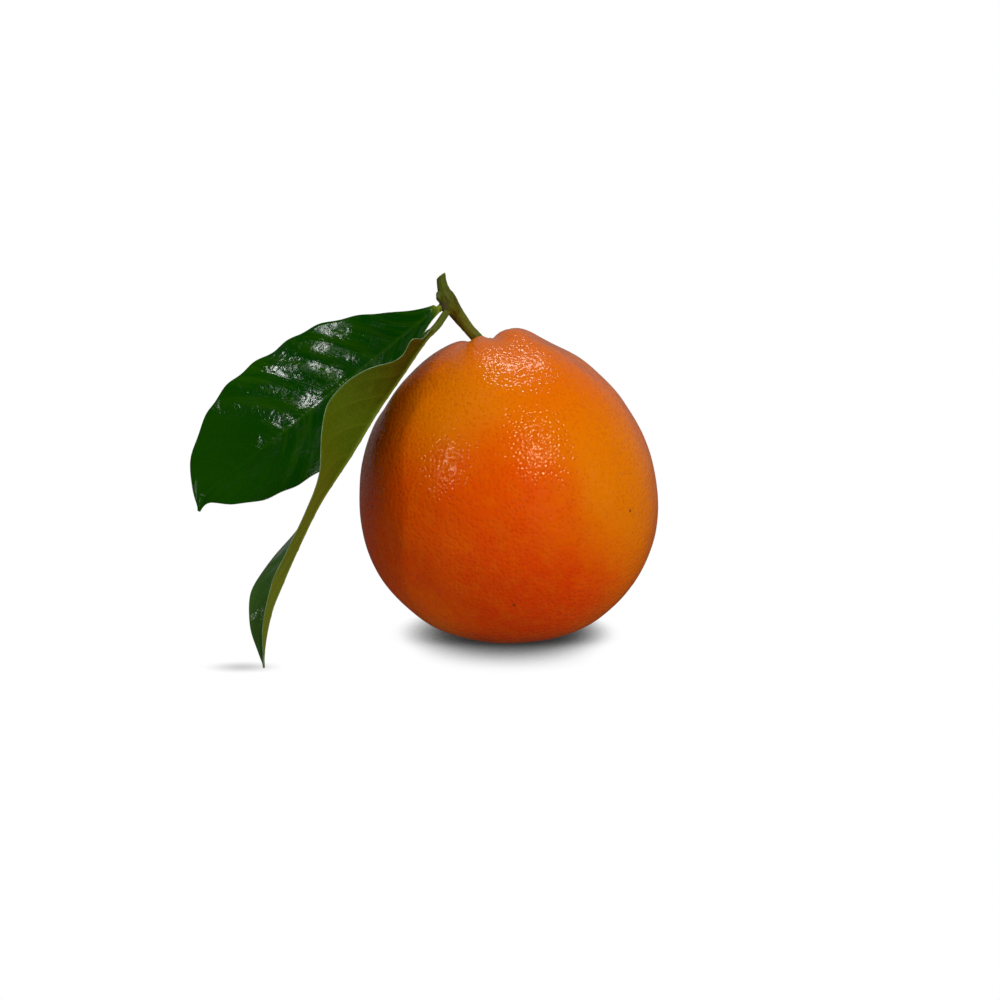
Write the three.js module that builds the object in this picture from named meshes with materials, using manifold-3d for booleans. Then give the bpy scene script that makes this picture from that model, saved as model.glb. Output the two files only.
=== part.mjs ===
// A tarocco blood orange as picked: the fruit, a short cut twig that ends in the calyx, and two leaves.
// Millimetres, +Z up. The origin is the middle of the flat spot that the fruit rests on.
// The leaves droop to the -X side. The lower one comes forward, towards -Y, and its tip nearly meets the surface.

import * as THREE from "three";
import { mergeVertices } from "three/addons/utils/BufferGeometryUtils.js";
import Module from "manifold-3d";

const wasm = await Module();
wasm.setup();

const degree = Math.PI / 180;
const cutBlock = 100; // the side of a cube that cuts a piece off flat, larger than any piece

const vector = (x, y, z) => new THREE.Vector3(x, y, z);

// The fruit's body is given by its distance from its centre, every 30 degrees from the top down to the base.
const fruit = {
  centreHeight: 39,
  bareSide: [37.9, 36.6, 35.7, 37.5, 40.1, 41, 39.2],
  leafSide: [37.9, 38, 37, 37.4, 39.5, 40.6, 39.2],
  stemLeanX: -10.5, // degrees from upright, of the line from the centre to the stem
  stemLeanY: 14,
  around: 60,
  down: 44,
  crowding: 1.35, // above 1 the rings lie closer together at the stem end
};

// The stem sits in a dimple, with a collar of uneven lobes round it and shallow furrows that run outwards.
const dimple = { depth: 3.4, spread: 6 };
const collar = [
  { turn: -15, out: 13.4, height: 2, along: 33, across: 9.5 }, // the large lobe on the stem's bare side
  { turn: -84, out: 8.5, height: 0.6, along: 24, across: 4 }, // the small lip in front of the stem
  { turn: -61, out: 9, height: -0.7, along: 24, across: 6 }, // the valley between those two
  { turn: 165, out: 9, height: 0.5, along: 30, across: 5 },
];
const furrows = { count: 7, depth: 0.32, reach: 24, start: 130 };

const stylarScar = { depth: 0.8, spread: 4 }; // the small pit at the blossom end

// The calyx is the thin five-lobed star that the stem grows into. It lies on the skin in the dimple.
const calyx = { radius: 2.7, lobes: 5, notch: 0.24, lift: 0.6, thick: 0.7, around: 40 };

// The stem leaves the calyx along the fruit's own axis, then leans over to the leaf side and forward.
const stem = {
  footLift: 1.2, // from the skin at the bottom of the dimple up to the stem's foot, inside the calyx
  footAside: vector(-0.8, 0, 0), // the twig stands off the middle of the calyx
  footLength: 0.9,
  route: [
    vector(-9.2, 8.2, 76.2),
    vector(-12.8, 6.6, 81.2),
    vector(-14.5, 4.9, 84.2),
    vector(-15.8, 3.9, 86.9),
    vector(-16.4, 3.5, 89),
    vector(-16.9, 3.4, 93),
  ],
  radius: [1.35, 1.4, 1.4, 1.55, 1.75, 1.9, 2.05, 1.5, 1.2, 1.15],
  sides: 12,
  steps: 26,
  cut: { at: vector(-16.7, 3.4, 91.3), slant: 38 }, // the twig's end is cut off at a slant
};
// The swellings at the twig's node, each a ball stretched upwards: the bud and the knuckle under the leaves.
const swellings = [
  { at: vector(-17.2, 3, 86.2), radius: 0.85, stretch: 1.6 },
  { at: vector(-15.1, 3.9, 82.2), radius: 0.95, stretch: 1 },
];

// Each leaf follows its rib: a petiole, a joint and then the blade.
// Every list runs evenly from the joint to the tip: the outline is the half width, the turn is how far
// the upper face rolls about the rib from where it faces, and the fold is how far each half rises from flat.
// The shoulder is where the near margin stands out, over what span, and how far.
const upperLeaf = {
  name: "leaf_upper",
  rib: [
    vector(-17.2, 3, 84),
    vector(-18.8, 3, 82.3),
    vector(-26.1, 6, 76),
    vector(-34.5, 9.8, 68.5),
    vector(-46.9, 12.4, 58),
    vector(-64.2, 11.5, 44.1),
    vector(-77.4, 8.5, 33.8),
    vector(-79, 7.5, 30),
  ],
  joint: 0.009,
  faces: vector(-0.38, -0.69, 0.62),
  turn: [1, -7, -3, -3, -3, -3],
  halfWidth: 20.2,
  outline: [0.075, 0.255, 0.51, 0.74, 0.895, 0.99, 1.04, 0.99, 0.865, 0.555, 0.04],
  shoulder: { share: 0.085, span: 0.045, out: 3.1 },
  tip: 0.05,
  fold: [29, 17, 21, 20, 21, 27],
  curl: -0.06,
  wave: 0.7,
  waves: 3,
  wavePhase: 0.1,
};
const lowerLeaf = {
  name: "leaf_lower",
  rib: [
    vector(-16.3, 2.3, 81.9),
    vector(-18.2, -1.2, 79.6),
    vector(-20.8, -4.5, 77.4),
    vector(-26.8, -11.3, 69.2),
    vector(-32.4, -18, 61.7),
    vector(-38.9, -23.5, 51.4),
    vector(-46.2, -27.5, 40.4),
    vector(-51.5, -31, 29.8),
    vector(-55.3, -34.5, 21.3),
    vector(-57.7, -37, 15.1),
    vector(-59.5, -38, 4.6),
    vector(-59.4, -38.2, 1.7),
  ],
  joint: 0.068,
  faces: vector(-0.86, 0.11, 0.49),
  turn: [-19, -8, -2, 14, 12, -1, -4, -7, -13.5, -37, -62],
  halfWidth: 18.5,
  outline: [0.085, 0.295, 0.69, 0.955, 1.045, 1.015, 0.875, 0.685, 0.49, 0.27, 0.02],
  shoulder: { share: 0.092, span: 0.03, out: 5 },
  tip: 0.02,
  fold: [17, 23.5, 16, 22, 22, 14.5, 10, 18, 35, 50.5, 64.5],
  curl: -0.05,
  wave: 0.7,
  waves: 2.5,
  wavePhase: 0.3,
};
const leafBuild = {
  thick: 0.7,
  rows: 56,
  columns: 12,
  crowding: 1.5, // above 1 the columns lie closer together at the midrib
  wing: 0.75, // half width of the petiole at its middle
  petioleEnd: 0.58, // and at its two ends
  teeth: 9,
  toothDepth: 0.015,
  tipPinch: 0.5,
  foldRound: 0.8,
  midrib: [0.7, 1, 0.75, 0.6, 0.45, 0.3, 0.1], // how far it stands out of the underside
  midribWidth: 1.1,
};

// A smooth run of values, evenly spaced from t = 0 to t = 1.
function run(values) {
  const spline = new THREE.SplineCurve(values.map((v, i) => new THREE.Vector2(i, v)));
  return (t) => spline.getPoint(THREE.MathUtils.clamp(t, 0, 1)).y;
}

function solidOf(geometry) {
  const bare = geometry.clone();
  bare.deleteAttribute("normal");
  bare.deleteAttribute("uv");
  const merged = mergeVertices(bare, 1e-4);
  return new wasm.Manifold(
    new wasm.Mesh({
      numProp: 3,
      vertProperties: merged.attributes.position.array,
      triVerts: new Uint32Array(merged.index.array),
    }),
  );
}

function geometryOf(solid) {
  const mesh = solid.getMesh();
  return new THREE.BufferGeometry()
    .setAttribute("position", new THREE.BufferAttribute(mesh.vertProperties, mesh.numProp))
    .setIndex(new THREE.BufferAttribute(mesh.triVerts, 1));
}

// Moves every vertex of a geometry to where place() puts it.
function reshape(geometry, place) {
  const position = geometry.attributes.position;
  for (let i = 0; i < position.count; i++) {
    const moved = place(vector(position.getX(i), position.getY(i), position.getZ(i)));
    position.setXYZ(i, moved.x, moved.y, moved.z);
  }
  return geometry;
}

// A closed round bar along a curve, with its radius as a function of the way along.
function bentBar(curve, radiusAt, sides, steps) {
  const frames = curve.computeFrenetFrames(steps, false);
  return reshape(new THREE.CylinderGeometry(1, 1, 1, sides, steps), (p) => {
    const step = Math.round((p.y + 0.5) * steps);
    const radius = radiusAt(step / steps);
    return curve
      .getPointAt(step / steps)
      .addScaledVector(frames.normals[step], p.x * radius)
      .addScaledVector(frames.binormals[step], -p.z * radius);
  });
}

const fruitCentre = vector(0, 0, fruit.centreHeight);
const stemWay = vector(
  Math.sin(fruit.stemLeanX * degree),
  Math.sin(fruit.stemLeanY * degree),
  1,
).normalize();
const stemTurn = new THREE.Quaternion().setFromUnitVectors(vector(0, 0, 1), stemWay);
const bareSideAt = run(fruit.bareSide);
const leafSideAt = run(fruit.leafSide);

// How far the skin stands from the fruit's centre in a direction.
function skinDistance(way) {
  const polar = way.angleTo(vector(0, 0, 1)) / Math.PI;
  const bare = 0.5 + 0.5 * (way.x / Math.max(1e-9, Math.hypot(way.x, way.y)));
  const body = THREE.MathUtils.lerp(leafSideAt(polar), bareSideAt(polar), bare);

  const local = way.clone().applyQuaternion(stemTurn.clone().invert());
  const out = local.angleTo(vector(0, 0, 1)) / degree;
  const turn = Math.atan2(local.y, local.x) / degree;
  let skin = body - dimple.depth * Math.exp(-((out / dimple.spread) ** 2));
  for (const lobe of collar) {
    const aside = THREE.MathUtils.euclideanModulo(turn - lobe.turn + 180, 360) - 180;
    const offAlong = (aside / lobe.along) ** 2;
    const offAcross = ((out - lobe.out) / lobe.across) ** 2;
    skin += lobe.height * Math.exp(-offAlong - offAcross);
  }
  const fade = (out / dimple.spread) ** 2 * Math.exp(-((out / furrows.reach) ** 2));
  const round = Math.cos((furrows.count * turn + furrows.start) * degree);
  skin -= furrows.depth * Math.min(1, fade) * (1 + round);
  const blossomEnd = 180 - out;
  return skin - stylarScar.depth * Math.exp(-((blossomEnd / stylarScar.spread) ** 2));
}

const skinPoint = (way) => fruitCentre.clone().addScaledVector(way, skinDistance(way));

function makeFruit() {
  const sphere = new THREE.SphereGeometry(1, fruit.around, fruit.down).rotateX(Math.PI / 2);
  const body = reshape(sphere, (p) => {
    const share = p.angleTo(vector(0, 0, 1)) / Math.PI;
    const polar = Math.PI * share ** fruit.crowding;
    const turn = Math.atan2(p.y, p.x);
    const way = vector(
      Math.sin(polar) * Math.cos(turn),
      Math.sin(polar) * Math.sin(turn),
      Math.cos(polar),
    ).applyQuaternion(stemTurn);
    return skinPoint(way);
  });
  const ground = new THREE.BoxGeometry(cutBlock, cutBlock, cutBlock).translate(0, 0, -cutBlock / 2);
  return geometryOf(solidOf(body).subtract(solidOf(ground)));
}

const stemFoot = skinPoint(stemWay).addScaledVector(stemWay, stem.footLift).add(stem.footAside);
const stemCurve = new THREE.CatmullRomCurve3(
  [stemFoot, stemFoot.clone().addScaledVector(stemWay, stem.footLength), ...stem.route],
  false,
  "centripetal",
);

function calyxStar() {
  const disc = new THREE.CylinderGeometry(1, 1, 1, calyx.around, 1).rotateX(Math.PI / 2);
  return reshape(disc, (p) => {
    const turn = Math.atan2(p.y, p.x);
    const reach = Math.hypot(p.x, p.y);
    const edge = calyx.radius * (1 - calyx.notch * (0.5 + 0.5 * Math.cos(calyx.lobes * turn)));
    const out = (reach * edge) / fruit.centreHeight;
    const way = vector(Math.sin(out) * Math.cos(turn), Math.sin(out) * Math.sin(turn), Math.cos(out));
    way.applyQuaternion(stemTurn);
    const lift = calyx.lift + (p.z + 0.5) * calyx.thick;
    return fruitCentre.clone().addScaledVector(way, skinDistance(way) + lift);
  });
}

function makeStem() {
  const bar = solidOf(bentBar(stemCurve, run(stem.radius), stem.sides, stem.steps));
  const balls = swellings.map(({ at, radius, stretch }) => {
    const ball = new THREE.IcosahedronGeometry(radius, 2).scale(1, 1, stretch);
    return solidOf(ball.translate(at.x, at.y, at.z));
  });
  const { at, slant } = stem.cut;
  const block = new THREE.BoxGeometry(cutBlock, cutBlock, cutBlock).translate(0, 0, cutBlock / 2);
  block.rotateY(-slant * degree).translate(at.x, at.y, at.z);
  const twig = wasm.Manifold.union([bar, ...balls]).subtract(solidOf(block));
  return geometryOf(twig.add(solidOf(calyxStar())));
}

// A leaf as functions of t, along the rib from 0 to 1, and s, across the blade from -1 to 1:
// the point of its middle surface, the way its upper face looks there, and how far the midrib stands out.
function leafShape(leaf) {
  const rib = new THREE.CatmullRomCurve3(leaf.rib, false, "centripetal");
  const [outline, turn, fold] = [run(leaf.outline), run(leaf.turn), run(leaf.fold)];
  const build = leafBuild;
  const midribAt = run(build.midrib);

  function bladeShare(t) {
    return THREE.MathUtils.clamp((t - leaf.joint) / (1 - leaf.joint), 0, 1);
  }
  function frame(t) {
    const along = rib.getTangentAt(t);
    const up = leaf.faces.clone().addScaledVector(along, -leaf.faces.dot(along)).normalize();
    up.applyAxisAngle(along, turn(bladeShare(t)) * degree);
    return { up, side: along.clone().cross(up) };
  }
  function halfWidth(t, s) {
    if (t < leaf.joint) {
      const middle = Math.sin((Math.PI * t) / leaf.joint);
      return THREE.MathUtils.lerp(build.petioleEnd, build.wing, middle);
    }
    const share = bladeShare(t);
    const tooth = 1 + build.toothDepth * Math.sin(2 * Math.PI * build.teeth * share);
    const drawnIn = 1 - build.tipPinch * Math.exp(-(((1 - share) / leaf.tip) ** 2));
    const offShoulder = (share - leaf.shoulder.share) / leaf.shoulder.span;
    const shoulder = s < 0 ? leaf.shoulder.out * Math.exp(-(offShoulder ** 2)) : 0;
    return leaf.halfWidth * outline(share) * tooth * drawnIn + shoulder;
  }
  function surface(t, s) {
    const { up, side } = frame(t);
    const share = bladeShare(t);
    const reach = Math.abs(s);
    const out = reach * halfWidth(t, s);
    const lean = fold(share) * degree;
    const rise = out * (Math.sin(lean) + leaf.curl * reach);
    const rounded = Math.sign(rise) * (Math.hypot(rise, build.foldRound) - build.foldRound);
    const phase = leaf.waves * share + leaf.wavePhase * Math.sign(s);
    const ripple = leaf.wave * reach ** 2 * Math.sin(2 * Math.PI * phase) * Math.sin(Math.PI * share);
    return rib
      .getPointAt(t)
      .addScaledVector(side, Math.sign(s) * out * Math.cos(lean))
      .addScaledVector(up, rounded + ripple);
  }
  function normal(t, s) {
    const step = 0.004;
    const [t0, t1] = [Math.max(0, t - step), Math.min(1, t + step)];
    const [s0, s1] = [Math.max(-1, s - 0.05), Math.min(1, s + 0.05)];
    const downLeaf = surface(t1, s).sub(surface(t0, s));
    const acrossLeaf = surface(t, s1).sub(surface(t, s0));
    return acrossLeaf.cross(downLeaf).normalize();
  }
  function midrib(t, s) {
    return midribAt(t) * Math.exp(-(((s * halfWidth(t, s)) / build.midribWidth) ** 2));
  }
  return { surface, normal, midrib };
}

// The leaf as one closed sheet, with the midrib raised from its underside.
// Both faces are split into triangles alike.
function makeLeaf(leaf) {
  const { rows, columns, crowding, thick } = leafBuild;
  const shape = leafShape(leaf);
  const points = [];
  for (const face of [1, -1]) {
    for (let i = 0; i <= rows; i++) {
      for (let j = 0; j <= columns; j++) {
        const t = i / rows;
        const across = (2 * j) / columns - 1;
        const s = Math.sign(across) * Math.abs(across) ** crowding;
        const out = face > 0 ? thick / 2 : -thick / 2 - shape.midrib(t, s);
        const point = shape.surface(t, s).addScaledVector(shape.normal(t, s), out);
        points.push(point.x, point.y, point.z);
      }
    }
  }
  const id = (face, i, j) => (face * (rows + 1) + i) * (columns + 1) + j;
  const triangles = [];
  for (let i = 0; i < rows; i++) {
    for (let j = 0; j < columns; j++) {
      const corners = (f) => [id(f, i, j), id(f, i, j + 1), id(f, i + 1, j + 1), id(f, i + 1, j)];
      const [a, b, c, d] = corners(0);
      const [e, f, g, h] = corners(1);
      triangles.push(a, b, c, a, c, d, e, g, f, e, h, g);
    }
  }
  const rim = [];
  for (let j = 0; j < columns; j++) rim.push([0, j]);
  for (let i = 0; i < rows; i++) rim.push([i, columns]);
  for (let j = columns; j > 0; j--) rim.push([rows, j]);
  for (let i = rows; i > 0; i--) rim.push([i, 0]);
  rim.forEach(([i, j], k) => {
    const [ni, nj] = rim[(k + 1) % rim.length];
    const [a, b, c, d] = [id(0, i, j), id(0, ni, nj), id(1, ni, nj), id(1, i, j)];
    triangles.push(b, a, d, b, d, c);
  });
  return new THREE.BufferGeometry()
    .setAttribute("position", new THREE.Float32BufferAttribute(points, 3))
    .setIndex(triangles);
}

const finishes = {
  peel: new THREE.MeshStandardMaterial({ color: 0xd96a08, roughness: 0.38, metalness: 0 }),
  bark: new THREE.MeshStandardMaterial({ color: 0x5b6220, roughness: 0.6, metalness: 0 }),
  leaf: new THREE.MeshStandardMaterial({ color: 0x12400a, roughness: 0.3, metalness: 0 }),
};

function piece(name, geometry, finish) {
  geometry.computeVertexNormals();
  const mesh = new THREE.Mesh(geometry, finish);
  mesh.name = name;
  return mesh;
}

const orange = new THREE.Group();
orange.add(piece("fruit", makeFruit(), finishes.peel));
orange.add(piece("stem", makeStem(), finishes.bark));
for (const leaf of [upperLeaf, lowerLeaf]) orange.add(piece(leaf.name, makeLeaf(leaf), finishes.leaf));

export default orange;
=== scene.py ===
# A tarocco blood orange with its cut twig and two leaves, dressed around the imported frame.
# The pieces are modelled in millimetres, +Z up, and finishPiece() brings them to metres.

import bisect
import math
import random

import bmesh
import bpy
from mathutils import Matrix, Vector, kdtree, noise


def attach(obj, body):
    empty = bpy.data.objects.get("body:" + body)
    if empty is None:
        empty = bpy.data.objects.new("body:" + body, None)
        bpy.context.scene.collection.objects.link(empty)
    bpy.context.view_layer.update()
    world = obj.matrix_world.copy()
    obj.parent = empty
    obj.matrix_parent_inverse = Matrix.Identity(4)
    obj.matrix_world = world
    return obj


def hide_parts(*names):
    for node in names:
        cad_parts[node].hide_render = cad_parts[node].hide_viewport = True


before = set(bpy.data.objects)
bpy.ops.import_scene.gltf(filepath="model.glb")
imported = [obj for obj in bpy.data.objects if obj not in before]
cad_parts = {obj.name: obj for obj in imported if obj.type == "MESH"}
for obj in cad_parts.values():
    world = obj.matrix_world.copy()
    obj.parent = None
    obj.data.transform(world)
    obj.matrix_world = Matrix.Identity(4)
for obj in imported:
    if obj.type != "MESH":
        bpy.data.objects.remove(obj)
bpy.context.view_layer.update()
print("frame loaded with", len(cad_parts), "nodes")

mm = 0.001
random.seed(26)


def colour(red, green, blue):  # a screen colour, 0 to 255, as the linear colour that sockets take
    parts = [c / 255 for c in (red, green, blue)]
    return [c / 12.92 if c <= 0.04045 else ((c + 0.055) / 1.055) ** 2.4 for c in parts] + [1]


def clamp(value, low=0.0, high=1.0):
    return min(max(value, low), high)


def run(values):  # a smooth run of values, evenly spaced from 0 to 1
    last = len(values) - 1

    def valueAt(t):
        place = clamp(t) * last
        i = min(int(place), last - 1)
        f = place - i
        before, a, b, after = values[max(i - 1, 0)], values[i], values[i + 1], values[min(i + 2, last)]
        slopeA, slopeB = (b - before) / 2, (after - a) / 2
        curve = (2 * a - 2 * b + slopeA + slopeB) * f + 3 * b - 3 * a - 2 * slopeA - slopeB
        return (curve * f + slopeA) * f + a

    return valueAt


def routeThrough(points, steps=60):  # one smooth curve through the points, measured along its length
    points = [Vector(p) for p in points]
    ends = [2 * points[0] - points[1]] + points + [2 * points[-1] - points[-2]]
    samples = []
    for before, a, b, after in zip(ends, ends[1:], ends[2:], ends[3:]):
        gaps = [math.sqrt((q - p).length) for p, q in ((before, a), (a, b), (b, after))]
        slopeA = ((a - before) / gaps[0] - (b - before) / (gaps[0] + gaps[1])) * gaps[1] + b - a
        slopeB = ((after - b) / gaps[2] - (after - a) / (gaps[1] + gaps[2])) * gaps[1] + b - a
        for k in range(steps):
            f = k / steps
            curve = (2 * a - 2 * b + slopeA + slopeB) * f + 3 * b - 3 * a - 2 * slopeA - slopeB
            samples.append((curve * f + slopeA) * f + a)
    samples.append(points[-1])
    reach = [0.0]
    for p, q in zip(samples, samples[1:]):
        reach.append(reach[-1] + (q - p).length)

    def placeAt(share):
        goal = clamp(share) * reach[-1]
        i = clamp(bisect.bisect_right(reach, goal) - 1, 0, len(samples) - 2)
        return samples[i].lerp(samples[i + 1], (goal - reach[i]) / (reach[i + 1] - reach[i]))

    def headingAt(share, step=0.002):
        return (placeAt(share + step) - placeAt(share - step)).normalized()

    return placeAt, headingAt, reach[-1]


def finishPiece(name, bm, materials, cadNode=None):  # to metres, into the scene, onto the frame
    bmesh.ops.scale(bm, vec=(mm, mm, mm), verts=bm.verts)
    mesh = bpy.data.meshes.new(name)
    bm.to_mesh(mesh)
    bm.free()
    for material in materials:
        mesh.materials.append(material)
    for polygon in mesh.polygons:
        polygon.use_smooth = True
    piece = bpy.data.objects.new(name, mesh)
    bpy.context.collection.objects.link(piece)
    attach(piece, "root")
    if cadNode:
        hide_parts(cadNode)
    print(name, "made with", len(mesh.polygons), "faces")
    return piece


# Materials

def newMaterial(name):
    material = bpy.data.materials.new(name)
    material.use_nodes = True
    return material, material.node_tree, material.node_tree.nodes["Principled BSDF"]


def addNode(tree, kind, inputs=None, **settings):
    made = tree.nodes.new("ShaderNode" + kind)
    for key, value in settings.items():
        setattr(made, key, value)
    for key, value in (inputs or {}).items():
        plug(tree, value, made.inputs[key])
    return made


def plug(tree, value, socket):  # a link where the value is an output, and else the socket's own value
    if isinstance(value, bpy.types.NodeSocket):
        tree.links.new(value, socket)
    else:
        socket.default_value = value


def calc(tree, operation, a, b=0.5, c=0.0):
    return addNode(tree, "Math", {0: a, 1: b, 2: c}, operation=operation).outputs[0]


def mixColour(tree, factor, a, b):
    return addNode(tree, "Mix", {0: factor, 6: a, 7: b}, data_type="RGBA").outputs[2]


def remap(tree, value, low, high, toLow=0.0, toHigh=1.0):
    inputs = {"Value": value, "From Min": low, "From Max": high, "To Min": toLow, "To Max": toHigh}
    return addNode(tree, "MapRange", inputs, interpolation_type="SMOOTHSTEP").outputs[0]


def placeInMillimetres(tree):  # the piece's own place, in millimetres
    place = addNode(tree, "TexCoord").outputs["Object"]
    return addNode(tree, "VectorMath", {0: place, "Scale": 1 / mm}, operation="SCALE").outputs[0]


def distanceTo(tree, place, point):
    return addNode(tree, "VectorMath", {0: place, 1: point}, operation="DISTANCE").outputs["Value"]


def grain(tree, place, size, detail=2.0, roughness=0.5):  # noise whose features are about size across
    inputs = {"Vector": place, "Scale": 1 / size, "Detail": detail, "Roughness": roughness}
    return addNode(tree, "TexNoise", inputs).outputs[0]


def attribute(tree, name, output="Fac"):
    return addNode(tree, "Attribute", attribute_name=name).outputs[output]


def addRelief(tree, shader, height, strength, depth):  # fine relief in the shading, its depth in millimetres
    bump = addNode(tree, "Bump", {"Height": height, "Strength": strength, "Distance": depth * mm})
    plug(tree, bump.outputs[0], shader.inputs["Normal"])


# The fruit

fruit = {
    "centreHeight": 39.0,
    "bareSide": [37.9, 36.6, 35.7, 37.5, 40.1, 41, 39.2],  # from the centre to the skin, from the top down
    "leafSide": [37.9, 38, 37, 37.4, 39.5, 40.6, 39.2],
    "stemLean": (-10.5, 14),  # degrees from upright, in X and in Y
    "cuts": 125,  # across each side of the cube that the sphere is made of
    "dimpleDepth": 3.4,
    "dimpleSpread": 6.0,
    "furrows": 7,
    "furrowDepth": 0.32,
    "furrowReach": 24.0,
    "furrowStart": 130.0,
    "wrinkles": 23,
    "wrinkleDepth": 0.1,
    "wrinkleStart": 5.0,  # degrees from the stem at which the wrinkles are at full depth
    "wrinkleReach": 16.0,
    "wrinkleWobble": 5.0,
    "wobbleScale": 6.0,
    "scarDepth": 0.8,
    "scarSpread": 4.0,
    "lumpHeight": 0.22,
    "lumpSize": 9.0,
    "glands": 12500,
    "glandDepth": 0.02,
    "glandRadius": 0.42,
    "glandJitter": 0.3,
    "glandSizes": (0.6, 1.25),
    "glandsFelt": 3,  # how many glands near a point shape it
}

collar = [  # turn, out, height, along, across: the lobes round the stem
    (-15, 13.4, 2, 33, 9.5),
    (-84, 8.5, 0.6, 24, 4),
    (-61, 9, -0.7, 24, 6),
    (165, 9, 0.5, 30, 5),
]

fruitCentre = Vector((0, 0, fruit["centreHeight"]))
leanX, leanY = [math.sin(math.radians(lean)) for lean in fruit["stemLean"]]
stemWay = Vector((leanX, leanY, 1)).normalized()
stemTurn = Vector((0, 0, 1)).rotation_difference(stemWay)
fromStem = stemTurn.inverted()
bareSideAt, leafSideAt = run(fruit["bareSide"]), run(fruit["leafSide"])


def skinDistance(way):  # how far the skin stands from the centre in a direction
    bare = 0.5 + 0.5 * way.x / max(1e-9, math.hypot(way.x, way.y))
    polar = math.acos(clamp(way.z, -1)) / math.pi
    skin = leafSideAt(polar) * (1 - bare) + bareSideAt(polar) * bare
    local = fromStem @ way
    out = math.degrees(math.acos(clamp(local.z, -1)))
    turn = math.degrees(math.atan2(local.y, local.x))
    skin -= fruit["dimpleDepth"] * math.exp(-((out / fruit["dimpleSpread"]) ** 2))
    for lobeTurn, lobeOut, height, along, across in collar:
        aside = (turn - lobeTurn + 180) % 360 - 180
        skin += height * math.exp(-((aside / along) ** 2) - ((out - lobeOut) / across) ** 2)
    fade = (out / fruit["dimpleSpread"]) ** 2 * math.exp(-((out / fruit["furrowReach"]) ** 2))
    ridge = math.cos(math.radians(fruit["furrows"] * turn + fruit["furrowStart"]))
    skin -= fruit["furrowDepth"] * min(1, fade) * (1 + ridge)
    return skin - fruit["scarDepth"] * math.exp(-(((180 - out) / fruit["scarSpread"]) ** 2)), out, turn


def glandTree():  # the oil glands, spread evenly by the golden angle and then nudged
    tree = kdtree.KDTree(fruit["glands"])
    spacing = math.sqrt(4 * math.pi / fruit["glands"])
    for k in range(fruit["glands"]):
        height = 1 - 2 * (k + 0.5) / fruit["glands"]
        turn = k * math.pi * (3 - math.sqrt(5))
        flat = math.sqrt(1 - height * height)
        nudge = Vector([random.gauss(0, fruit["glandJitter"] * spacing) for axis in range(3)])
        tree.insert((Vector((flat * math.cos(turn), flat * math.sin(turn), height)) + nudge).normalized(), k)
    tree.balance()
    return tree


def makeFruit(materials):
    bm = bmesh.new()
    bmesh.ops.create_cube(bm, size=2)
    bmesh.ops.subdivide_edges(bm, edges=bm.edges[:], cuts=fruit["cuts"], use_grid_fill=True)
    tree = glandTree()
    sizes = [random.uniform(*fruit["glandSizes"]) for k in range(fruit["glands"])]
    for vert in bm.verts:
        way = Vector([math.tan(c * math.pi / 4) for c in vert.co]).normalized()
        skin, out, turn = skinDistance(way)
        near = math.exp(-((out / fruit["wrinkleReach"]) ** 2)) * min(1, out / fruit["wrinkleStart"])
        wobble = fruit["wrinkleWobble"] * noise.noise(way * fruit["wobbleScale"])
        skin -= fruit["wrinkleDepth"] * near * math.cos(math.radians(fruit["wrinkles"] * turn) + wobble)
        skin += fruit["lumpHeight"] * noise.noise(way * fruit["centreHeight"] / fruit["lumpSize"])
        dip = 0
        for place, k, gap in tree.find_n(way, fruit["glandsFelt"]):
            dip += sizes[k] * math.exp(-((gap * skin / (fruit["glandRadius"] * sizes[k])) ** 2))
        vert.co = fruitCentre + way * (skin - fruit["glandDepth"] * dip)
        vert.co.z = max(vert.co.z, 0)
    return finishPiece("orange_peel", bm, materials, "fruit")


peelFinish = {
    "orange": colour(236, 112, 0),
    "yellow": colour(236, 130, 0),
    "red": colour(238, 82, 0),
    # a deeper red, which on the left of the fruit is also painted shade
    "deepRedAndShade": colour(228, 66, 0),
    "gland": colour(184, 44, 0),
    "scar": colour(96, 60, 24),
    "gloss": (1, 0.82, 0.6, 1),
    "specular": 0.3,
    "roughness": (0.1, 0.17),
    "poresPerMm": 0.95,
    "poreJitter": 0.85,
    "poreRelief": 0.11,
    "fineRelief": 0.35,  # of the grain between the pores, as a share of theirs
    "warp": 12,  # by how many mm the grain shifts the edges of the patches
    # centre in mm, radius, colour, strength: soft patches of ripeness, and on the left a deeper red patch
    # that is painted shade, where the near leaf shades the fruit
    "patches": [
        ((28, -26, 44), 26, "yellow", 0.75),
        ((-14, -28, 66), 20, "yellow", 0.7),
        ((-2, -38, 42), 21, "red", 0.9),
        ((6, -34, 12), 30, "deepRedAndShade", 1.0),
        # painted shade: the left of the fruit, which the near leaf shades, is painted a deeper, darker red
        ((-30, -20, 30), 30, "deepRedAndShade", 0.8),
        ((20, 30, 46), 26, "red", 0.7),
        ((-22, 28, 26), 26, "deepRedAndShade", 0.5),
        ((4, 34, 66), 20, "yellow", 0.6),
    ],
    "patchEdge": (0.35, 1.25),  # shares of the radius, where a patch starts to fade and where it ends
    # centre in mm, radius where it starts to fade, radius where it ends
    "specks": [((30.0, -23.0, 37.3), 0.22, 0.66), ((1.4, -32.9, 16.1), 0.18, 0.54)],
    "stylarScar": (0.8, 2.4),  # the same two radii
    "stylarScarOut": 38.6,  # from the fruit's centre
    "speckStrength": 0.85,
}

stylarScarAt = fruitCentre - peelFinish["stylarScarOut"] * stemWay


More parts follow.
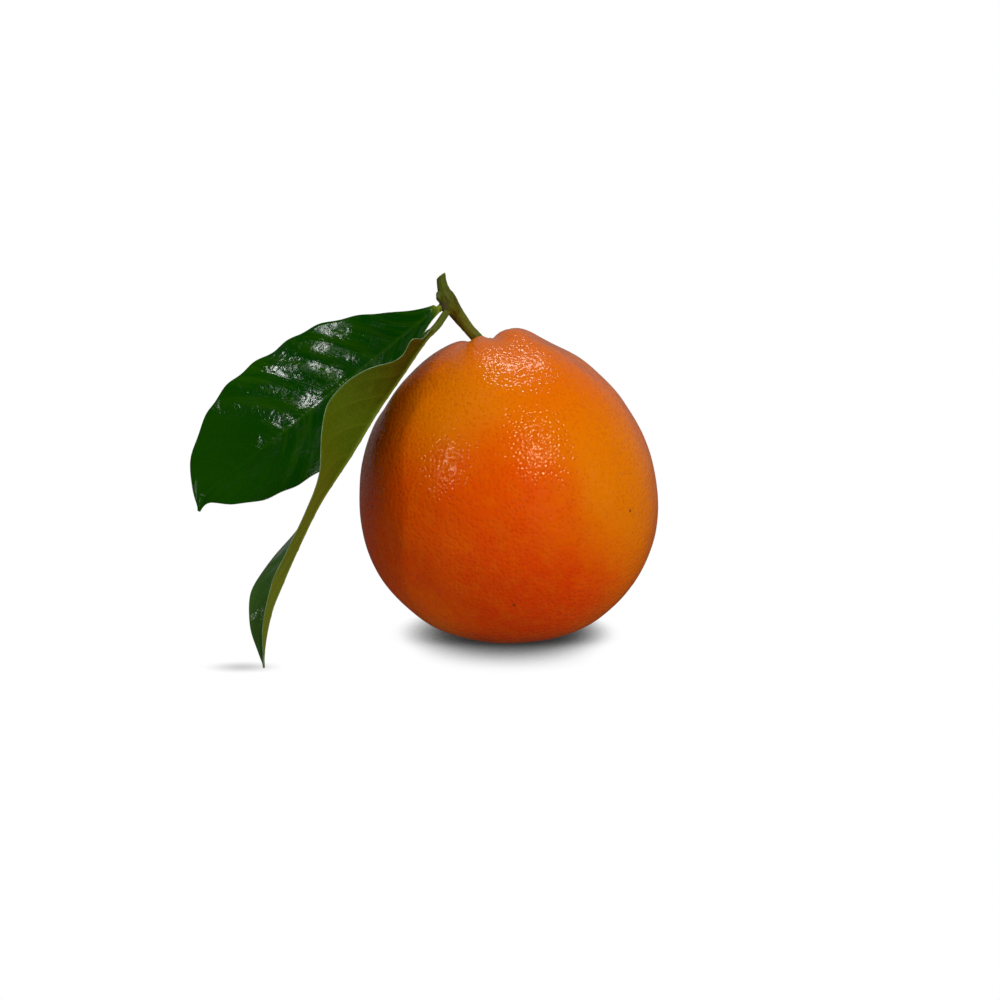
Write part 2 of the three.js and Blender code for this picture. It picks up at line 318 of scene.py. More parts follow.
def peelMaterial():
    material, tree, shader = newMaterial("orangePeel")
    place = placeInMillimetres(tree)
    warp = grain(tree, place, 11, 3)
    skinColour = peelFinish["orange"]
    for centre, radius, name, strength in peelFinish["patches"]:
        away = calc(tree, "SUBTRACT", distanceTo(tree, place, centre), peelFinish["warp"] / 2)
        away = calc(tree, "MULTIPLY_ADD", warp, peelFinish["warp"], away)
        mask = remap(tree, away, *[share * radius for share in peelFinish["patchEdge"]], strength, 0)
        skinColour = mixColour(tree, mask, skinColour, peelFinish[name])
    mottle = remap(tree, grain(tree, place, 4, 3, 0.6), 0.4, 0.7, 0, 0.16)
    skinColour = mixColour(tree, mottle, skinColour, peelFinish["yellow"])
    cells = {"Vector": place, "Scale": peelFinish["poresPerMm"], "Randomness": peelFinish["poreJitter"]}
    pores = addNode(tree, "TexVoronoi", cells).outputs["Distance"]
    dots = calc(tree, "MULTIPLY", remap(tree, pores, 0.1, 0.5, 1, 0), remap(tree, warp, 0.35, 0.6, 0.26, 0.1))
    skinColour = mixColour(tree, dots, skinColour, peelFinish["gland"])
    for at, inner, outer in peelFinish["specks"] + [(stylarScarAt, *peelFinish["stylarScar"])]:
        mark = remap(tree, distanceTo(tree, place, at), inner, outer, peelFinish["speckStrength"], 0)
        skinColour = mixColour(tree, mark, skinColour, peelFinish["scar"])
    plug(tree, skinColour, shader.inputs["Base Color"])
    gloss = remap(tree, grain(tree, place, 3, 2), 0.3, 0.7, *peelFinish["roughness"])
    plug(tree, gloss, shader.inputs["Roughness"])
    shader.inputs["Specular IOR Level"].default_value = peelFinish["specular"]
    shader.inputs["Specular Tint"].default_value = peelFinish["gloss"]
    pits = remap(tree, pores, 0, 0.7)
    height = calc(tree, "MULTIPLY_ADD", grain(tree, place, 0.5, 2), peelFinish["fineRelief"], pits)
    addRelief(tree, shader, height, 1.0, peelFinish["poreRelief"])
    return material


# The twig, with its node, bud, cut end and calyx

twig = {
    "footLift": 1.2,
    "footAside": (-0.8, 0, 0),
    "footLength": 0.9,
    "route": [
        (-9.2, 8.2, 76.2),
        (-12.8, 6.6, 81.2),
        (-14.5, 4.9, 84.2),
        (-15.8, 3.9, 86.9),
        (-16.4, 3.5, 89),
        (-16.9, 3.4, 93),
    ],
    "radius": [1.35, 1.4, 1.4, 1.55, 1.75, 1.9, 2.05, 1.5, 1.2, 1.15],
    "cutAt": (-16.7, 3.4, 91.3),
    "cutSlant": 38,
    "leafScar": (-16.4, 2, 83.3),
    "cushions": [((-16.9, 3.3, 84.6), 0.4, 1.4), ((-15.6, 3.6, 82.6), 1.2, 1.3)],  # at, height, spread
    "around": 56,
    "along": 190,
    "ridges": 9,
    "ridgeTwist": 5,
    "ridgeHeight": 0.07,
    "streaksAround": 1.9,
    "streaksAlong": 2.2,
    "barkHeight": 0.08,
    "knobsPerMm": 1.1,
    "grainStretch": 0.16,  # below 1 the bark's grain runs along the twig
    "barkRing": 0.22,
    "pithRing": 0.1,
    "pithDepth": 0.12,
}

stemFoot = fruitCentre + stemWay * (skinDistance(stemWay)[0] + twig["footLift"]) + Vector(twig["footAside"])
twigPlace, twigHeading, twigLength = routeThrough(
    [stemFoot, stemFoot + twig["footLength"] * stemWay] + twig["route"])
twigRadius = run(twig["radius"])


def makeTwig(materials):
    bm = bmesh.new()
    bmesh.ops.create_grid(bm, x_segments=twig["along"], y_segments=twig["around"], size=1)
    alongLayer = bm.verts.layers.float.new("along")
    barkLayer = bm.verts.layers.float_vector.new("bark")
    side = Vector((1, 0, 0))
    rings = {}
    for vert in sorted(bm.verts, key=lambda v: v.co.x):
        share = (vert.co.x + 1) / 2
        if share not in rings:
            heading = twigHeading(share)
            side = (side - side.dot(heading) * heading).normalized()
            rings[share] = (twigPlace(share), side, heading.cross(side), twigRadius(share))
        place, right, up, radius = rings[share]
        turn = vert.co.y * math.pi
        way = right * math.cos(turn) + up * math.sin(turn)
        streak = noise.noise(way * twig["streaksAround"] + Vector((share * twig["streaksAlong"], 0, 7)))
        knobs = noise.noise((place + way * radius) * twig["knobsPerMm"])
        ridge = math.cos(twig["ridges"] * turn + twig["ridgeTwist"] * share)
        radius += twig["ridgeHeight"] * (0.5 * ridge + streak) + twig["barkHeight"] * knobs
        for at, height, spread in twig["cushions"]:
            gap = (place + way * radius - Vector(at)).length
            radius += height * math.exp(-((gap / spread) ** 2))
        vert[alongLayer] = share
        vert[barkLayer] = (math.cos(turn), math.sin(turn), share * twigLength * twig["grainStretch"])
        vert.co = place + way * radius
    bmesh.ops.remove_doubles(bm, verts=bm.verts, dist=0.001)
    slant = Matrix.Rotation(-math.radians(twig["cutSlant"]), 3, "Y") @ Vector((0, 0, 1))
    everything = bm.verts[:] + bm.edges[:] + bm.faces[:]
    cut = bmesh.ops.bisect_plane(
        bm, geom=everything, plane_co=twig["cutAt"], plane_no=slant, clear_outer=True)
    rim = [part for part in cut["geom_cut"] if isinstance(part, bmesh.types.BMEdge)]
    ends = [edge for edge in bm.edges if edge.is_boundary and edge not in rim]
    cap = bmesh.ops.contextual_create(bm, geom=rim)["faces"]
    bmesh.ops.contextual_create(bm, geom=ends)
    bmesh.ops.inset_region(bm, faces=cap, thickness=twig["barkRing"], depth=0)
    bmesh.ops.inset_region(bm, faces=cap, thickness=twig["pithRing"], depth=-twig["pithDepth"])
    for face in cap:
        face.material_index = 1
    bmesh.ops.poke(bm, faces=cap)
    bmesh.ops.recalc_face_normals(bm, faces=bm.faces)
    return finishPiece("twig_bark", bm, materials, "stem")


bud = {"at": (-17.2, 3.0, 86.2), "radius": 0.85, "stretch": 1.6, "scales": 3, "scaleDepth": 0.12}

calyx = {
    "radius": 2.7,
    "lobes": 5,
    "notch": 0.24,
    "lift": 0.6,
    "thick": 0.7,
    "around": 120,
    "rings": 24,
    "rib": 0.12,
    "ragged": 0.07,
    "raggedScale": 60,
}


def makeBud(materials):
    bm = bmesh.new()
    bmesh.ops.create_uvsphere(bm, u_segments=40, v_segments=28, radius=bud["radius"])
    for vert in bm.verts:
        turn = math.atan2(vert.co.y, vert.co.x)
        height = vert.co.z / bud["radius"]
        seam = bud["scaleDepth"] * math.cos(bud["scales"] * (turn + height)) * (1 - height * height)
        vert.co *= 1 + seam
        vert.co.z *= bud["stretch"]
        vert.co += Vector(bud["at"])
    return finishPiece("twig_bud", bm, materials)


def makeCalyx(materials):
    bm = bmesh.new()
    bmesh.ops.create_uvsphere(bm, u_segments=calyx["around"], v_segments=calyx["rings"], radius=1)
    for vert in bm.verts:
        turn = math.atan2(vert.co.y, vert.co.x)
        reach = math.hypot(vert.co.x, vert.co.y)
        star = 0.5 + 0.5 * math.cos(calyx["lobes"] * turn)
        edge = calyx["radius"] * (1 - calyx["notch"] * star)
        out = reach * edge / fruit["centreHeight"]
        way = Vector((math.sin(out) * math.cos(turn), math.sin(out) * math.sin(turn), math.cos(out)))
        way = stemTurn @ way
        rib = calyx["rib"] * math.cos(calyx["lobes"] * turn + math.pi) * reach * (1 - reach)
        ragged = calyx["ragged"] * noise.noise(way * calyx["raggedScale"])
        rise = calyx["lift"] + (0.5 + 0.5 * vert.co.z) * calyx["thick"] + rib + ragged
        vert.co = fruitCentre + way * (skinDistance(way)[0] + rise)
    return finishPiece("twig_calyx", bm, materials)


barkFinish = {
    "green": colour(80, 98, 8),
    "lightGreen": colour(118, 132, 36),
    "brown": colour(70, 56, 6),
    "violet": colour(84, 68, 60),
    "wood": colour(168, 156, 104),
    "pith": colour(206, 196, 150),
    "calyx": colour(104, 112, 44),
    "calyxEdge": colour(92, 66, 30),
}


def barkMaterial():
    material, tree, shader = newMaterial("twigBark")
    place = placeInMillimetres(tree)
    along = attribute(tree, "along")
    streaks = grain(tree, attribute(tree, "bark", "Vector"), 0.45, 4, 0.6)
    brown = calc(tree, "MULTIPLY", remap(tree, streaks, 0.42, 0.62), remap(tree, along, 0.62, 0.8, 1, 0.4))
    bark = mixColour(tree, brown, barkFinish["green"], barkFinish["brown"])
    across = addNode(tree, "SeparateXYZ", {0: place}).outputs
    lit = remap(tree, calc(tree, "MULTIPLY_ADD", streaks, 2, across["X"]), -13, -8, 0, 0.5)
    bark = mixColour(tree, lit, bark, barkFinish["lightGreen"])
    away = distanceTo(tree, place, twig["leafScar"])
    scar = remap(tree, calc(tree, "MULTIPLY_ADD", grain(tree, place, 1.2, 3), 2, away), 1.6, 3.0, 0.8, 0)
    bark = mixColour(tree, scar, bark, barkFinish["violet"])
    plug(tree, bark, shader.inputs["Base Color"])
    plug(tree, remap(tree, streaks, 0.3, 0.7, 0.42, 0.62), shader.inputs["Roughness"])
    height = calc(tree, "MULTIPLY_ADD", streaks, 1, calc(tree, "MULTIPLY", grain(tree, place, 0.35, 3), 0.6))
    addRelief(tree, shader, height, 0.7, 0.15)
    return material


def cutWoodMaterial():
    material, tree, shader = newMaterial("cutWood")
    place = placeInMillimetres(tree)
    pith = remap(tree, distanceTo(tree, place, twig["cutAt"]), 0.2, 0.5, 1, 0)
    wood = mixColour(tree, pith, barkFinish["wood"], barkFinish["pith"])
    fibres = remap(tree, grain(tree, place, 0.18, 3), 0.3, 0.7, 0, 0.45)
    plug(tree, mixColour(tree, fibres, wood, barkFinish["brown"]), shader.inputs["Base Color"])
    shader.inputs["Roughness"].default_value = 0.7
    addRelief(tree, shader, fibres, 0.5, 0.08)
    return material


def calyxMaterial():
    material, tree, shader = newMaterial("calyxSkin")
    place = placeInMillimetres(tree)
    away = distanceTo(tree, place, stemFoot)
    edge = remap(tree, calc(tree, "MULTIPLY_ADD", grain(tree, place, 0.8, 3), 1.6, away), 2.8, 4.0)
    skin = mixColour(tree, edge, barkFinish["calyx"], barkFinish["calyxEdge"])
    plug(tree, skin, shader.inputs["Base Color"])
    shader.inputs["Roughness"].default_value = 0.6
    addRelief(tree, shader, grain(tree, place, 0.4, 3), 0.6, 0.15)
    return material


# The leaves

upperLeaf = {
    "name": "leaf_far",
    "cadNode": "leaf_upper",
    "rib": [
        (-15.6, 4.1, 84.6),  # inside the twig
        (-18.8, 3, 82.3),
        (-26.1, 6, 76),
        (-34.5, 9.8, 68.5),
        (-46.9, 12.4, 58),
        (-64.2, 11.5, 44.1),
        (-77.4, 8.5, 33.8),
        (-79, 7.5, 30),
    ],
    "joint": 0.03,
    "faces": (-0.38, -0.69, 0.62),
    "turn": [1, -7, -3, -3, -3, -3],
    "halfWidth": 20.2,
    "outline": [0.075, 0.255, 0.51, 0.74, 0.895, 0.99, 1.04, 0.99, 0.865, 0.555, 0.04],
    "shoulder": (0.085, 0.045, 3.1),  # where the near margin stands out, over what share, and how far
    "tip": 0.05,
    "fold": [29, 17, 21, 20, 21, 27],
    "curl": -0.06,
    "wave": 0.7,
    "waves": 3,
    "wavePhase": 0.1,
}

lowerLeaf = {
    "name": "leaf_near",
    "cadNode": "leaf_lower",
    "rib": [
        (-15.4, 3.9, 82.9),
        (-18.2, -1.2, 79.6),
        (-20.8, -4.5, 77.4),
        (-26.8, -11.3, 69.2),
        (-32.4, -18, 61.7),
        (-38.9, -23.5, 51.4),
        (-46.2, -27.5, 40.4),
        (-51.5, -31, 29.8),
        (-55.3, -34.5, 21.3),
        (-57.7, -37, 15.1),
        (-59.5, -38, 4.6),
        (-59.4, -38.2, 1.7),
    ],
    "joint": 0.086,
    "faces": (-0.86, 0.11, 0.49),
    "turn": [-19, -8, -2, 14, 12, -1, -4, -7, -13.5, -37, -62],
    "halfWidth": 18.5,
    "outline": [0.085, 0.295, 0.69, 0.955, 1.045, 1.015, 0.875, 0.685, 0.49, 0.27, 0.02],
    "shoulder": (0.092, 0.03, 5),
    "tip": 0.02,
    "fold": [17, 23.5, 16, 22, 22, 14.5, 10, 18, 35, 50.5, 64.5],
    "curl": -0.05,
    "wave": 0.7,
    "waves": 2.5,
    "wavePhase": 0.3,
}

leafBuild = {
    "thick": 0.36,
    "rimThick": 0.18,
    "rows": 300,
    "columns": 64,
    "crowding": 1.3,
    "wing": 0.7,
    "petioleEnd": 0.62,
    "petioleRound": 0.6,
    "petioleFade": 0.04,  # the share of the blade over which its base loses the petiole's round form
    "teeth": 9,
    "toothDepth": 0.015,
    "tipPinch": 0.5,
    "foldRound": 0.8,
    "midrib": [1.1, 0.8, 0.65, 0.5, 0.38, 0.25, 0.1],
    "midribWidth": 0.8,
    "groove": 0.12,
    "grooveWidth": 0.45,
    "veins": 11,
    "veinLean": 0.17,
    "veinBend": 1.35,
    "veinHeight": 0.07,
    "veinWidth": 0.5,
    "quilt": 0.22,
}


def leafSurface(leaf):
    placeAt, headingAt, length = routeThrough(leaf["rib"])
    outline, turn, fold = run(leaf["outline"]), run(leaf["turn"]), run(leaf["fold"])
    faces = Vector(leaf["faces"])
    build = leafBuild

    def shareAt(t):
        return clamp((t - leaf["joint"]) / (1 - leaf["joint"]))

    def halfWidth(t, s):
        if t < leaf["joint"]:
            middle = math.sin(math.pi * t / leaf["joint"])
            return build["petioleEnd"] + (build["wing"] - build["petioleEnd"]) * middle
        share = shareAt(t)
        tooth = 1 + build["toothDepth"] * math.sin(2 * math.pi * build["teeth"] * share)
        drawnIn = 1 - build["tipPinch"] * math.exp(-(((1 - share) / leaf["tip"]) ** 2))
        at, span, out = leaf["shoulder"]
        shoulder = out * math.exp(-(((share - at) / span) ** 2)) if s < 0 else 0
        return leaf["halfWidth"] * outline(share) * tooth * drawnIn + shoulder

    def frameAt(t):  # the place on the rib, the way across and the way up
        along = headingAt(t)
        up = (faces - faces.dot(along) * along).normalized()
        up = Matrix.Rotation(math.radians(turn(shareAt(t))), 3, along) @ up
        return placeAt(t), along.cross(up), up

    def veinPhase(share, s):  # whole numbers lie on the lateral veins
        offset = 0.0 if s > 0 else 0.5
        return build["veins"] * (share - build["veinLean"] * abs(s) ** build["veinBend"]) + offset

    def surface(t, s, frameHere):
        place, side, up = frameHere
        share, reach = shareAt(t), abs(s)
        out = reach * halfWidth(t, s)
        lean = math.radians(fold(share))
        rise = out * (math.sin(lean) + leaf["curl"] * reach)
        rounded = math.copysign(math.hypot(rise, build["foldRound"]) - build["foldRound"], rise)
        sign = (s > 0) - (s < 0)
        phase = leaf["waves"] * share + leaf["wavePhase"] * sign
        ripple = leaf["wave"] * reach ** 2 * math.sin(2 * math.pi * phase) * math.sin(math.pi * share)
        between = math.sin(math.pi * veinPhase(share, s)) ** 2
        body = math.sin(math.pi * clamp(share, 0, 1)) ** 0.5
        quilt = build["quilt"] * (between - 0.5) * body * math.sin(math.pi * reach) ** 0.7
        groove = build["groove"] * math.exp(-((out / build["grooveWidth"]) ** 2))
        return place + side * (sign * out * math.cos(lean)) + up * (rounded + ripple + quilt - groove)

    return surface, frameAt, halfWidth, shareAt, veinPhase, length


def makeLeaf(leaf, materials):
    surface, frameAt, halfWidth, shareAt, veinPhase, length = leafSurface(leaf)
    build = leafBuild
    midribAt = run(build["midrib"])
    bm = bmesh.new()
    bmesh.ops.create_grid(bm, x_segments=build["rows"], y_segments=build["columns"], size=1)
    layers = {name: bm.verts.layers.float.new(name) for name in ("along", "across", "width")}
    frames = {}
    for vert in bm.verts:
        t = (1 - vert.co.x) / 2
        s = math.copysign(abs(vert.co.y) ** build["crowding"], vert.co.y)
        if t not in frames:
            frames[t] = frameAt(t)
        vert[layers["along"]] = (t - leaf["joint"]) / (1 - leaf["joint"])
        vert[layers["across"]] = s
        vert[layers["width"]] = halfWidth(t, s)
        vert.co = surface(t, s, frames[t])
    copied = bmesh.ops.duplicate(bm, geom=bm.verts[:] + bm.edges[:] + bm.faces[:])["geom"]
    underside = {part for part in copied if isinstance(part, (bmesh.types.BMVert, bmesh.types.BMFace))}
    bm.normal_update()
    for vert in bm.verts:
        share, s, width = [vert[layers[name]] for name in ("along", "across", "width")]
        out = abs(s) * width
        thick = build["thick"] / 2 + (build["rimThick"] - build["thick"]) / 2 * abs(s) ** 3
        petiole = build["petioleRound"] * math.sqrt(max(0, 1 - s * s))
        petiole *= clamp(1 - share / build["petioleFade"])
        if vert in underside:
            nearVein = abs((veinPhase(share, s) + 0.5) % 1 - 0.5) / build["veins"] * length
            vein = build["veinHeight"] * math.exp(-((nearVein / build["veinWidth"]) ** 2)) * (1 - abs(s))
            rib = midribAt(share) * math.exp(-((out / build["midribWidth"]) ** 2))
            vert.co = vert.co - vert.normal * (thick + max(petiole, rib) + vein)
        else:
            vert.co = vert.co + vert.normal * (thick + 0.5 * petiole)
    undersideFaces = [part for part in underside if isinstance(part, bmesh.types.BMFace)]
    bmesh.ops.reverse_faces(bm, faces=undersideFaces)
    for face in undersideFaces:
        face.material_index = 1
    rim = [edge for edge in bm.edges if edge.is_boundary]
    for face in bmesh.ops.bridge_loops(bm, edges=rim)["faces"]:
        face.material_index = 2
    bmesh.ops.recalc_face_normals(bm, faces=bm.faces)
    return finishPiece(leaf["name"], bm, materials, leaf["cadNode"])


leafFinish = {
    "dark": colour(8, 70, 0),
    "olive": colour(34, 84, 0),
    "pale": colour(40, 92, 14),
    "midrib": colour(60, 108, 16),
    "farPetiole": colour(120, 140, 24),
    "nearPetiole": colour(84, 100, 30),
    "farTip": colour(22, 74, 0),
    # painted sheen: the near leaf's upper side shows only towards its tip, and is painted a pale grey-green
    # there for the sheen it catches
    "nearTip": colour(70, 104, 44),
    "under": colour(72, 98, 2),
    "underBrown": colour(58, 66, 0),
    "underPale": colour(104, 118, 16),
    "underVein": colour(124, 138, 30),
    "margin": colour(120, 150, 110),
    "grainAlong": 85,  # the blade's mottling is drawn out along its lateral veins
    "grainAcross": 0.25,
    "polish": (0.5, 0.04),  # the specular level of the glossy patches and of the dull ones
    "tipPolish": 0.2,
    "roughness": (0.1, 0.17),
    "upperRelief": 0.07,
    "underRelief": 0.15,
    "underRoughness": 0.55,
    "underSpecular": 0.25,
    "marginRoughness": 0.4,
}


def leafVeins(tree):  # the share of the length, masks for the veins, and a place drawn out along them
    along, across = attribute(tree, "along"), attribute(tree, "across")
    width = attribute(tree, "width")
    reach = calc(tree, "ABSOLUTE", across)
    out = calc(tree, "MULTIPLY", reach, width)
    midrib = remap(tree, out, 0.25, 0.8, 1, 0)
    bend = calc(tree, "MULTIPLY", calc(tree, "POWER", reach, leafBuild["veinBend"]), leafBuild["veinLean"])
    side = calc(tree, "MULTIPLY", calc(tree, "LESS_THAN", across, 0), 0.5)
    flow = calc(tree, "SUBTRACT", along, bend)
    phase = calc(tree, "MULTIPLY_ADD", flow, leafBuild["veins"], side)
    lateral = remap(tree, calc(tree, "PINGPONG", phase, 0.5), 0.02, 0.075, 1, 0)
    lateral = calc(tree, "MULTIPLY", lateral, remap(tree, reach, 0.6, 0.98, 1, 0))
    flowing = calc(tree, "MULTIPLY", flow, leafFinish["grainAlong"])
    aside = calc(tree, "MULTIPLY", out, leafFinish["grainAcross"])
    return along, midrib, lateral, addNode(tree, "CombineXYZ", {0: flowing, 1: aside}).outputs[0]


def upperSideMaterial(petiole, tip):
    material, tree, shader = newMaterial("leafUpperSide")
    place = placeInMillimetres(tree)
    along, midrib, lateral, flow = leafVeins(tree)
    mottle = remap(tree, grain(tree, flow, 4, 3, 0.6), 0.4, 0.66)
    blade = mixColour(tree, mottle, leafFinish["dark"], leafFinish["olive"])
    blade = mixColour(tree, calc(tree, "MULTIPLY", lateral, 0.12), blade, leafFinish["pale"])
    blade = mixColour(tree, calc(tree, "MULTIPLY", midrib, 0.3), blade, leafFinish["midrib"])
    # towards the tip: the far leaf's own paler green, and on the near leaf a painted sheen
    blade = mixColour(tree, remap(tree, along, 0.6, 0.75, 0, 0.8), blade, tip)
    stalk = remap(tree, along, -0.01, 0.03, 1, 0)
    plug(tree, mixColour(tree, stalk, blade, petiole), shader.inputs["Base Color"])
    gloss = remap(tree, grain(tree, place, 3, 3), 0.3, 0.7, *leafFinish["roughness"])
    plug(tree, calc(tree, "MULTIPLY_ADD", stalk, 0.4, gloss), shader.inputs["Roughness"])
    polish = remap(tree, grain(tree, place, 6, 3), 0.4, 0.55, *leafFinish["polish"])
    polish = calc(tree, "MULTIPLY", polish, remap(tree, along, 0.6, 0.8, 1, leafFinish["tipPolish"]))
    plug(tree, polish, shader.inputs["Specular IOR Level"])
    height = calc(tree, "MULTIPLY_ADD", grain(tree, place, 2.6, 1), 1.8, grain(tree, place, 0.8, 2))
    height = calc(tree, "SUBTRACT", height, calc(tree, "MULTIPLY", lateral, 0.5))
    addRelief(tree, shader, height, 1.0, leafFinish["upperRelief"])
    return material


def undersideMaterial(petiole):
    material, tree, shader = newMaterial("leafUnderside")
    place = placeInMillimetres(tree)
    along, midrib, lateral, flow = leafVeins(tree)
    brown = remap(tree, calc(tree, "MULTIPLY_ADD", grain(tree, place, 6, 3), 0.2, along), 0.2, 0.45, 1, 0)
    blade = mixColour(tree, brown, leafFinish["under"], leafFinish["underBrown"])
    blade = mixColour(tree, remap(tree, along, 0.38, 0.6), blade, leafFinish["underPale"])
    net = addNode(tree, "TexVoronoi", {"Vector": place, "Scale": 0.6}, feature="DISTANCE_TO_EDGE")
    lines = remap(tree, net.outputs["Distance"], 0, 0.09, 0.15, 0)
    veins = calc(tree, "MAXIMUM", lines, calc(tree, "MULTIPLY", lateral, 0.15))
    blade = mixColour(tree, veins, blade, leafFinish["underVein"])
    blade = mixColour(tree, calc(tree, "MULTIPLY", midrib, 0.7), blade, leafFinish["underVein"])
    stalk = remap(tree, along, -0.01, 0.03, 1, 0)
    plug(tree, mixColour(tree, stalk, blade, petiole), shader.inputs["Base Color"])
    shader.inputs["Roughness"].default_value = leafFinish["underRoughness"]
    shader.inputs["Specular IOR Level"].default_value = leafFinish["underSpecular"]
    height = calc(tree, "ADD", grain(tree, place, 0.6, 3), calc(tree, "MULTIPLY", lines, 2))
    addRelief(tree, shader, height, 0.4, leafFinish["underRelief"])
    return material


def marginMaterial(petiole):
    material, tree, shader = newMaterial("leafMargin")
    place = placeInMillimetres(tree)
    worn = remap(tree, grain(tree, place, 3, 2), 0.4, 0.7, 0, 0.5)
    margin = mixColour(tree, worn, leafFinish["margin"], leafFinish["under"])
    stalk = remap(tree, attribute(tree, "along"), 0, 0.06, 1, 0)
    plug(tree, mixColour(tree, stalk, margin, petiole), shader.inputs["Base Color"])
    shader.inputs["Roughness"].default_value = leafFinish["marginRoughness"]
    return material


# The floor, the light and the camera

studio = {
    "floorSize": 0.6,
    "shadowReach": (0.0092, 0.0078, 0.0145),  # in m: left of the fruit, right of it, and well in front
    "shadowSides": 20,  # how far out, in mm, the reach is that of the left or the right
    "shadowFront": (-38, -12),  # between which Y, in mm, it changes to the one in front
    "shadowDeepest": (-0.09, 0.05),  # the openness that is darkest: in front and under the fruit
    "shadowNear": (-16, -6),  # between which Y, in mm, that changes
    "shadowEnd": 0.88,  # the openness that is free of shadow
    "shadowLean": (0.7, 0, 1),  # the shadow falls a little to the left
    "shadowTone": colour(38, 36, 35),
    "leafShadow": [(-65, -31.5, 0), 11, 0.38],  # centre in mm, radius, strength: left of the leaf's tip
    "leafShadowShape": (1, 1.8, 1),  # it is narrower towards the camera
    "floorBounce": 0.45,
    "worldLight": 0.02,
    "backGlow": 0.22,  # what the sides of the fruit reflect at a grazing angle
    "glowBehind": (0.2, 0.9),  # from where to where it comes up, away from the camera
    "glowAbove": (-0.4, 0.15),  # and upwards
    "aim": (-2.02, 0, 34.7),  # the point at the middle of the picture
    "elevation": 13,
    "distance": 750,
    "focal": 2970,  # in pixels of the 1000 pixel frame
    "warm": (1, 0.86, 0.64),
    "neutral": (1, 1, 1),
    # name, direction from the fruit, distance, width, height in m, watts, tone, in the gloss or not
    "lights": [
        ("keyLight", (0.39, -0.62, 0.68), 0.75, 0.13, 0.11, 1.9, "warm", True),
        ("frontFill", (0.42, -0.88, 0.14), 0.8, 0.5, 0.4, 1.35, "neutral", False),
        ("rightFill", (0.93, -0.3, 0.2), 0.8, 0.4, 0.4, 1.1, "neutral", False),
        ("topFill", (-0.25, -0.3, 0.92), 0.8, 0.4, 0.4, 1.2, "neutral", False),
        ("topLight", (0.1, 0.42, 0.9), 0.8, 0.26, 0.07, 1.3, "neutral", True),
        ("leftLight", (-0.71, -0.56, 0.42), 0.8, 0.06, 0.16, 0.75, "neutral", True),
        ("backLeftLight", (-0.82, 0, 0.57), 0.8, 0.25, 0.2, 0.08, "neutral", True),
    ],
}


def makeFloor():
    bm = bmesh.new()
    bmesh.ops.create_grid(bm, x_segments=1, y_segments=1, size=studio["floorSize"])
    mesh = bpy.data.meshes.new("floor")
    bm.to_mesh(mesh)
    bm.free()
    floor = bpy.data.objects.new("floor", mesh)
    bpy.context.collection.objects.link(floor)
    floor.visible_glossy = False  # the peel of the fruit doesn't mirror it
    material, tree, shader = newMaterial("paleFloor")
    lean = Vector(studio["shadowLean"]).normalized()
    place = placeInMillimetres(tree)
    here = addNode(tree, "SeparateXYZ", {0: place}).outputs
    left, right, front = studio["shadowReach"]
    beside = remap(tree, here["X"], -studio["shadowSides"], studio["shadowSides"], left, right)
    reach = remap(tree, here["Y"], *studio["shadowFront"], front, beside)
    openness = addNode(tree, "AmbientOcclusion", {"Distance": reach, "Normal": lean}, samples=8).outputs["AO"]
    deepest = remap(tree, here["Y"], *studio["shadowNear"], *studio["shadowDeepest"])
    lit = remap(tree, openness, deepest, studio["shadowEnd"])
    shade = mixColour(tree, lit, studio["shadowTone"], (1, 1, 1, 1))
    centre, radius, depth = studio["leafShadow"]
    away = addNode(tree, "VectorMath", {0: place, 1: centre}, operation="SUBTRACT").outputs[0]
    shape = studio["leafShadowShape"]
    away = addNode(tree, "VectorMath", {0: away, 1: shape}, operation="MULTIPLY").outputs[0]
    away = addNode(tree, "VectorMath", {0: away}, operation="LENGTH").outputs["Value"]
    shade = mixColour(tree, remap(tree, away, 0, radius, depth, 0), shade, studio["shadowTone"])
    seen = addNode(tree, "LightPath").outputs["Is Camera Ray"]
    strength = calc(tree, "MAXIMUM", seen, studio["floorBounce"])
    glow = addNode(tree, "Emission", {"Color": shade, "Strength": strength})
    tree.links.new(glow.outputs[0], tree.nodes["Material Output"].inputs["Surface"])
    tree.nodes.remove(shader)
    mesh.materials.append(material)
    return floor


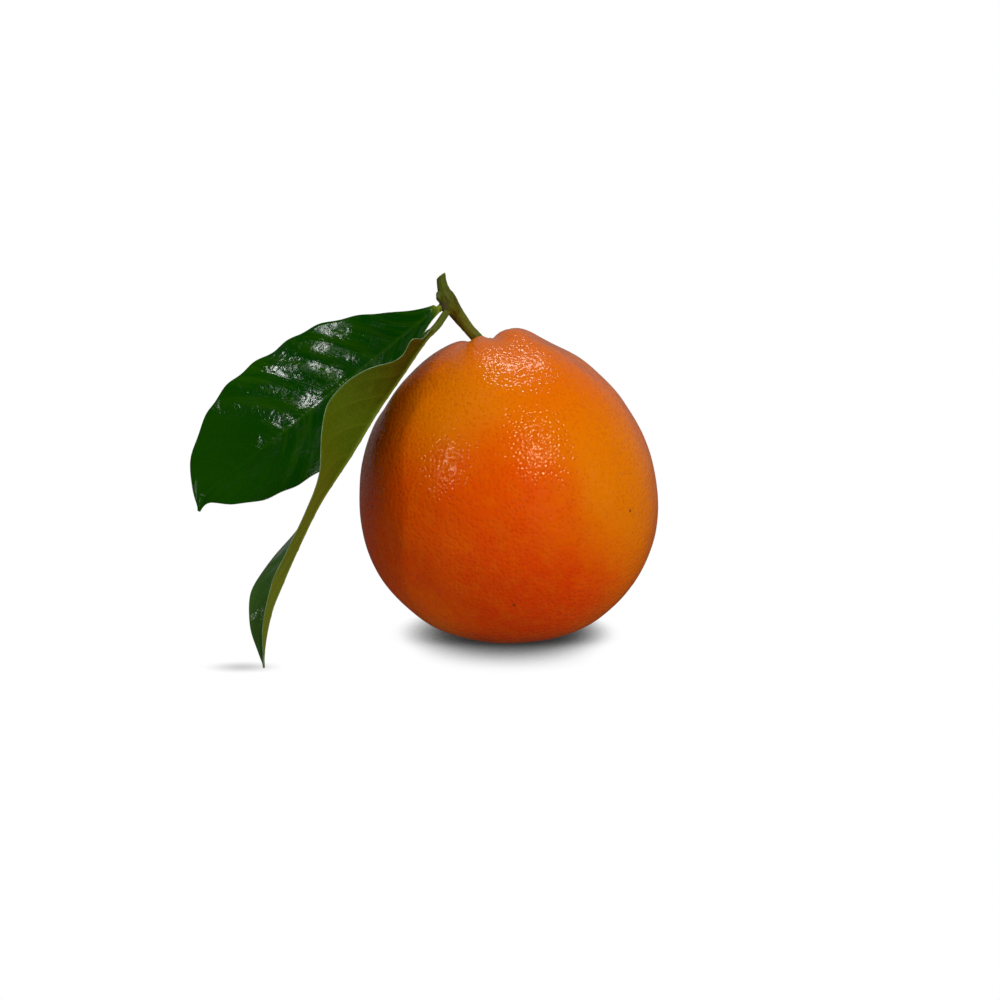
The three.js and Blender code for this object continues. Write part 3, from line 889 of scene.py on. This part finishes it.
def makeLights():
    for name, way, distance, width, height, watts, tone, inGloss in studio["lights"]:
        light = bpy.data.lights.new(name, "AREA")
        light.shape = "RECTANGLE"
        light.size, light.size_y, light.energy = width, height, watts
        light.color = studio[tone]
        lamp = bpy.data.objects.new(name, light)
        bpy.context.collection.objects.link(lamp)
        way = Vector(way).normalized()
        lamp.location = fruitCentre * mm + way * distance
        lamp.rotation_euler = way.to_track_quat("Z", "Y").to_euler()
        lamp.visible_glossy = inGloss
    world = bpy.data.worlds.new("studio")
    world.use_nodes = True
    bpy.context.scene.world = world
    tree = world.node_tree
    seen = addNode(tree, "LightPath").outputs["Is Camera Ray"]
    way = addNode(tree, "SeparateXYZ", {0: addNode(tree, "TexCoord").outputs["Generated"]}).outputs
    behind = remap(tree, way["Y"], *studio["glowBehind"])
    behind = calc(tree, "MULTIPLY", behind, remap(tree, way["Z"], *studio["glowAbove"]))
    glow = calc(tree, "MULTIPLY_ADD", behind, studio["backGlow"], studio["worldLight"])
    strength = calc(tree, "MAXIMUM", seen, glow)
    background = tree.nodes["Background"]
    background.inputs["Color"].default_value = (1, 1, 1, 1)
    plug(tree, strength, background.inputs["Strength"])


def makeCamera():
    data = bpy.data.cameras.new("camera")
    data.lens = data.sensor_width * studio["focal"] / 1000
    data.clip_start = 0.01
    camera = bpy.data.objects.new("camera", data)
    bpy.context.collection.objects.link(camera)
    tilt = math.radians(studio["elevation"])
    back = Vector((0, -math.cos(tilt), math.sin(tilt)))
    camera.location = (Vector(studio["aim"]) + studio["distance"] * back) * mm
    camera.rotation_euler = (math.pi / 2 - tilt, 0, 0)
    bpy.context.scene.camera = camera


makeCamera()
makeLights()
makeFloor()
bpy.context.scene.view_settings.view_transform = "Standard"
print("studio ready")

makeFruit([peelMaterial()])
bark, cutWood = barkMaterial(), cutWoodMaterial()
makeTwig([bark, cutWood])
makeBud([bark])
makeCalyx([calyxMaterial()])
for leaf, which in ((upperLeaf, "far"), (lowerLeaf, "near")):
    petiole, tip = leafFinish[which + "Petiole"], leafFinish[which + "Tip"]
    makeLeaf(leaf, [upperSideMaterial(petiole, tip), undersideMaterial(petiole), marginMaterial(petiole)])
